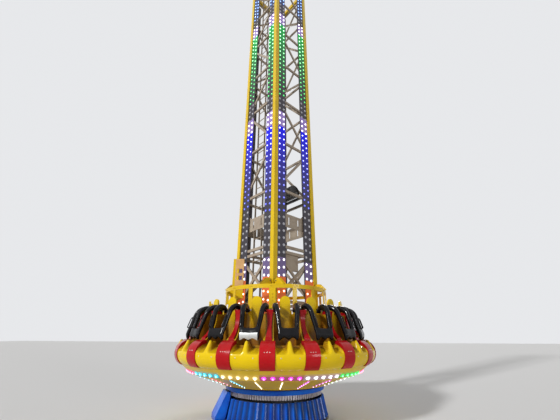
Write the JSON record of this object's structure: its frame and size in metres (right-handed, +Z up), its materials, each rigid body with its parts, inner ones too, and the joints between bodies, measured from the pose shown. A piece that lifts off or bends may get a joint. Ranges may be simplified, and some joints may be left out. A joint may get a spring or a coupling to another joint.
{
  "type": "drop tower ride",
  "caption": "Travelling drop tower ride: a lit square lattice tower on a slewing ring, with a ring carriage of outward-facing seats under padded shoulder bars.",
  "frame": {"origin": "on the ground at the tower's axis, the middle of the base flange's foot", "axes": "+Z up along the tower; -Y towards the front corner leg; +X to the right seen from the front"},
  "size_m": [4.6, 4.6302, 14.76],
  "materials": {
    "yellow_paint": "gloss",
    "grp_yellow": "gloss moulded",
    "grp_red": "gloss moulded",
    "harness_black": "gloss moulded",
    "cream_paint": "satin, weathered",
    "lamp_plate": "satin",
    "blue_paint": "gloss",
    "gear_steel": "machined, greasy",
    "dark_paint": "satin",
    "roller_rubber": "matt"
  },
  "bodies": {
    "pedestal": {"base_flange": "dark_paint", "pedestal_drum": "dark_paint", "pedestal_skirt": "blue_paint", "drive_cover": "blue_paint"},
    "tower": {"slewing_gear": "gear_steel", "turntable_ring": "blue_paint", "turntable_frame": "yellow_paint", "leg_front": "yellow_paint", "leg_right": "yellow_paint", "leg_back": "yellow_paint", "leg_left": "yellow_paint", "lattice_front_right": "cream_paint", "lattice_back_right": "cream_paint", "lattice_back_left": "cream_paint", "lattice_front_left": "cream_paint", "lamp_plates_front_right": "lamp_plate", "lamp_plates_back_right": "lamp_plate", "lamp_plates_back_left": "lamp_plate", "lamp_plates_front_left": "lamp_plate", "portal_band": "cream_paint", "ladder": "cream_paint", "lift_chain": "gear_steel", "chain_wheels": "gear_steel", "lift_motor": "dark_paint", "top_frame": "yellow_paint", "landing_buffers": "roller_rubber"},
    "gondola": {"underside_ring": "yellow_paint", "underside_cone": "yellow_paint", "lamp_rim": "yellow_paint", "deck_frame": "yellow_paint", "carriage_posts": "yellow_paint", "carriage_top_ring": "yellow_paint", "roller_brackets": "yellow_paint", "guide_rollers": "roller_rubber", "lift_bracket": "yellow_paint", "seats_front_right": "grp_yellow", "seats_back_right": "grp_yellow", "seats_back_left": "grp_yellow", "seats_front_left": "grp_yellow", "seat_dividers": "grp_red", "skirt_panels": "grp_yellow", "skirt_stripes": "grp_red"},
    "harness_01": {"harness_01": "harness_black"},
    "harness_02": {"harness_02": "harness_black"},
    "harness_03": {"harness_03": "harness_black"},
    "harness_04": {"harness_04": "harness_black"},
    "harness_05": {"harness_05": "harness_black"},
    "harness_06": {"harness_06": "harness_black"},
    "harness_07": {"harness_07": "harness_black"},
    "harness_08": {"harness_08": "harness_black"},
    "harness_09": {"harness_09": "harness_black"},
    "harness_10": {"harness_10": "harness_black"},
    "harness_11": {"harness_11": "harness_black"},
    "harness_12": {"harness_12": "harness_black"},
    "harness_13": {"harness_13": "harness_black"},
    "harness_14": {"harness_14": "harness_black"},
    "harness_15": {"harness_15": "harness_black"},
    "harness_16": {"harness_16": "harness_black"},
    "harness_17": {"harness_17": "harness_black"},
    "harness_18": {"harness_18": "harness_black"}
  },
  "joints": [
    {"name": "tower_spin", "type": "hinge", "parent": "pedestal", "child": "tower", "pos_m": [0, 0, 0], "axis": [0, 0, 1], "continuous": true},
    {"name": "gondola_lift", "type": "slide", "parent": "tower", "child": "gondola", "axis": [0, 0, 1], "range_m": [0, 9]},
    {"name": "harness_01_hinge", "type": "hinge", "parent": "gondola", "child": "harness_01", "pos_m": [0.27614, -1.56606, 2.09], "axis": [-0.9848, -0.1736, 0], "range_deg": [0, 75]},
    {"name": "harness_02_hinge", "type": "hinge", "parent": "gondola", "child": "harness_02", "pos_m": [0.79511, -1.37717, 2.09], "axis": [-0.866, -0.5, 0], "range_deg": [0, 75]},
    {"name": "harness_03_hinge", "type": "hinge", "parent": "gondola", "child": "harness_03", "pos_m": [1.21818, -1.02217, 2.09], "axis": [-0.6428, -0.766, 0], "range_deg": [0, 75]},
    {"name": "harness_04_hinge", "type": "hinge", "parent": "gondola", "child": "harness_04", "pos_m": [1.49432, -0.54389, 2.09], "axis": [-0.342, -0.9397, 0], "range_deg": [0, 75]},
    {"name": "harness_05_hinge", "type": "hinge", "parent": "gondola", "child": "harness_05", "pos_m": [1.59022, 0, 2.09], "axis": [0, -1, 0], "range_deg": [0, 75]},
    {"name": "harness_06_hinge", "type": "hinge", "parent": "gondola", "child": "harness_06", "pos_m": [1.49432, 0.54389, 2.09], "axis": [0.342, -0.9397, 0], "range_deg": [0, 75]},
    {"name": "harness_07_hinge", "type": "hinge", "parent": "gondola", "child": "harness_07", "pos_m": [1.21818, 1.02217, 2.09], "axis": [0.6428, -0.766, 0], "range_deg": [0, 75]},
    {"name": "harness_08_hinge", "type": "hinge", "parent": "gondola", "child": "harness_08", "pos_m": [0.79511, 1.37717, 2.09], "axis": [0.866, -0.5, 0], "range_deg": [0, 75]},
    {"name": "harness_09_hinge", "type": "hinge", "parent": "gondola", "child": "harness_09", "pos_m": [0.27614, 1.56606, 2.09], "axis": [0.9848, -0.1736, 0], "range_deg": [0, 75]},
    {"name": "harness_10_hinge", "type": "hinge", "parent": "gondola", "child": "harness_10", "pos_m": [-0.27614, 1.56606, 2.09], "axis": [0.9848, 0.1736, 0], "range_deg": [0, 75]},
    {"name": "harness_11_hinge", "type": "hinge", "parent": "gondola", "child": "harness_11", "pos_m": [-0.79511, 1.37717, 2.09], "axis": [0.866, 0.5, 0], "range_deg": [0, 75]},
    {"name": "harness_12_hinge", "type": "hinge", "parent": "gondola", "child": "harness_12", "pos_m": [-1.21818, 1.02217, 2.09], "axis": [0.6428, 0.766, 0], "range_deg": [0, 75]},
    {"name": "harness_13_hinge", "type": "hinge", "parent": "gondola", "child": "harness_13", "pos_m": [-1.49432, 0.54389, 2.09], "axis": [0.342, 0.9397, 0], "range_deg": [0, 75]},
    {"name": "harness_14_hinge", "type": "hinge", "parent": "gondola", "child": "harness_14", "pos_m": [-1.59022, 0, 2.09], "axis": [0, 1, 0], "range_deg": [0, 75]},
    {"name": "harness_15_hinge", "type": "hinge", "parent": "gondola", "child": "harness_15", "pos_m": [-1.49432, -0.54389, 2.09], "axis": [-0.342, 0.9397, 0], "range_deg": [0, 75]},
    {"name": "harness_16_hinge", "type": "hinge", "parent": "gondola", "child": "harness_16", "pos_m": [-1.21818, -1.02217, 2.09], "axis": [-0.6428, 0.766, 0], "range_deg": [0, 75]},
    {"name": "harness_17_hinge", "type": "hinge", "parent": "gondola", "child": "harness_17", "pos_m": [-0.79511, -1.37717, 2.09], "axis": [-0.866, 0.5, 0], "range_deg": [0, 75]},
    {"name": "harness_18_hinge", "type": "hinge", "parent": "gondola", "child": "harness_18", "pos_m": [-0.27614, -1.56606, 2.09], "axis": [-0.9848, 0.1736, 0], "range_deg": [0, 75]}
  ]
}
